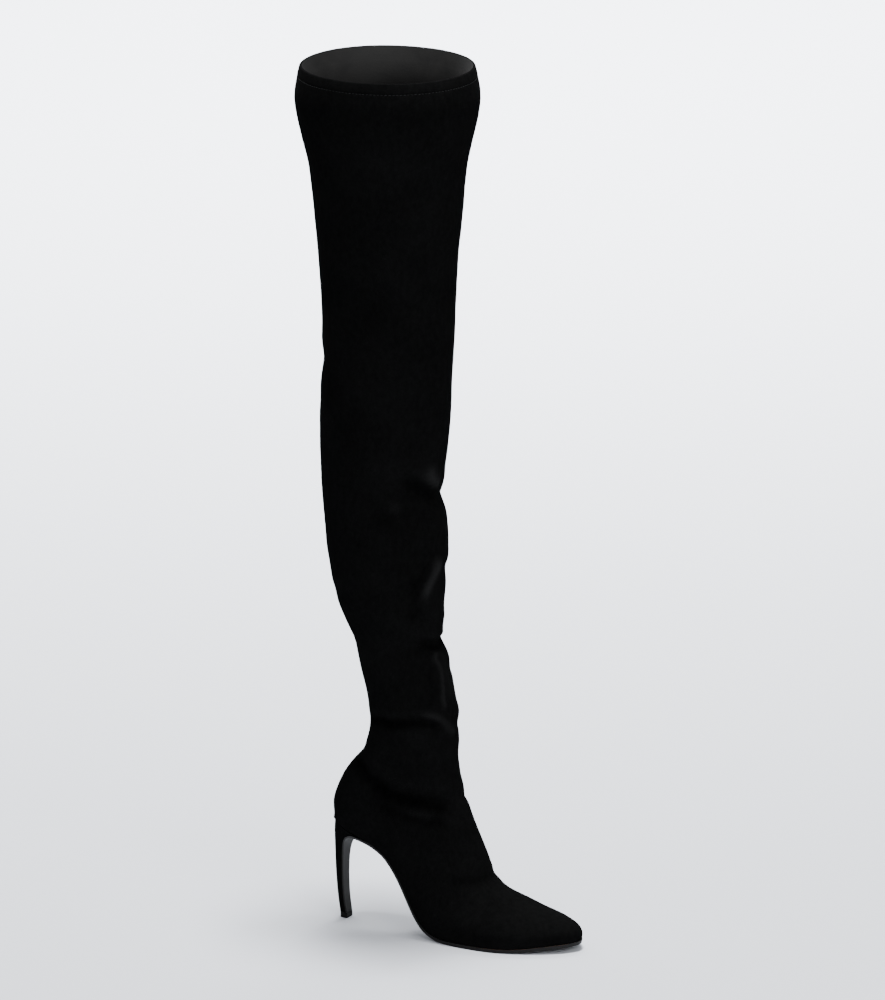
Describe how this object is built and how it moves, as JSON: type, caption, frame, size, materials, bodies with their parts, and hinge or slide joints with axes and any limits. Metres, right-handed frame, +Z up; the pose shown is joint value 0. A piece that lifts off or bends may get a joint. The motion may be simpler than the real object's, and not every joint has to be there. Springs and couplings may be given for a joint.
{
  "type": "thigh high boot",
  "caption": "Right thigh-high suede boot with a high curved covered heel, thin leather sole, softly folded shaft and a short inner ankle zip.",
  "frame": {"origin": "middle of the heel's top piece on the floor", "axes": "+Z up along the shaft, +X towards the toe, +Y towards the inner side of the leg"},
  "size_m": [0.2478, 0.1386, 0.7201],
  "materials": {
    "black_suede": "black suede, matt short nap, slightly worn",
    "lining_leather": "smooth dark lining leather",
    "sole_leather": "smooth black sole leather, satin",
    "heel_suede": "black suede stretched over the heel",
    "top_piece_rubber": "matt black heel top piece",
    "zip_tape": "black woven tape with a fine nylon coil",
    "slider_metal": "plain nickel-coloured slider",
    "pull_metal": "plain nickel-coloured wire loop"
  },
  "bodies": {
    "boot": {"upper": "black_suede", "insole": "lining_leather", "outsole": "sole_leather", "heel": "heel_suede", "heel_tip": "top_piece_rubber", "zip": "zip_tape", "zip_slider": "slider_metal"},
    "zip_pull": {"zip_pull": "pull_metal"}
  },
  "joints": [
    {"name": "zip_pull_swing", "type": "hinge", "parent": "boot", "child": "zip_pull", "pos_m": [0.06603, 0.03334, 0.17958], "axis": [0.9973, -0.0192, 0.0706], "range_deg": [0, 160]}
  ]
}
